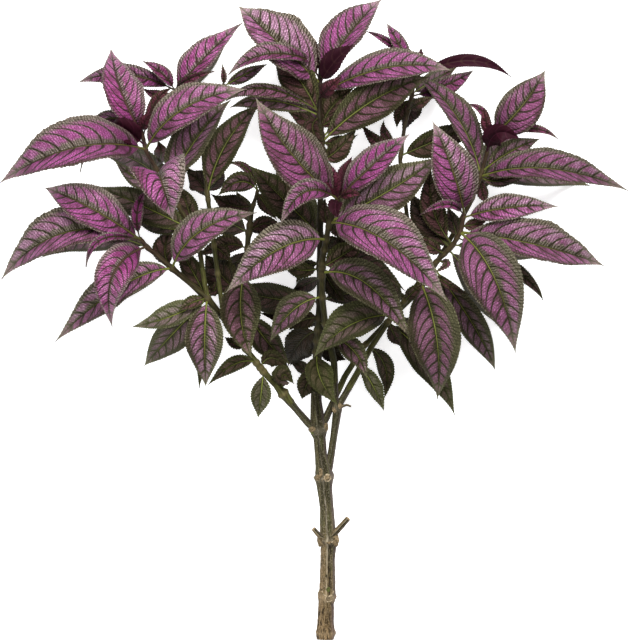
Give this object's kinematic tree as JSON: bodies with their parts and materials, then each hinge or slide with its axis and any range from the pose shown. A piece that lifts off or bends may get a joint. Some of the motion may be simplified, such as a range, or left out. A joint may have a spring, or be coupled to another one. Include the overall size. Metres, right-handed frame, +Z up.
{
  "type": "persian shield plant cutting",
  "caption": "Cut, branched stem of Persian shield with toothed purple and silver-green leaves, lying on its back on a surface.",
  "frame": {"origin": "on the surface that the plant lies on, under the middle of its box", "axes": "+X across the crown to the right, +Y along the stem from its cut end to the crown, +Z up, away from the surface"},
  "size_m": [0.6297, 0.6422, 0.235],
  "materials": {
    "bark": "dry, finely fissured bark with raised leaf-scar rings",
    "foliage": "quilted, satin leaves, lilac to magenta between dark green veins, with grey-green margins"
  },
  "bodies": {
    "root": {"main_stem": "bark", "front_shoot": "foliage", "top_shoot": "foliage", "right_back_shoot": "foliage", "right_upper_shoot": "foliage", "right_lower_shoot": "foliage", "left_lower_shoot": "foliage", "left_upper_shoot": "foliage", "left_back_shoot": "foliage", "left_inner_shoot": "foliage"}
  },
  "joints": []
}
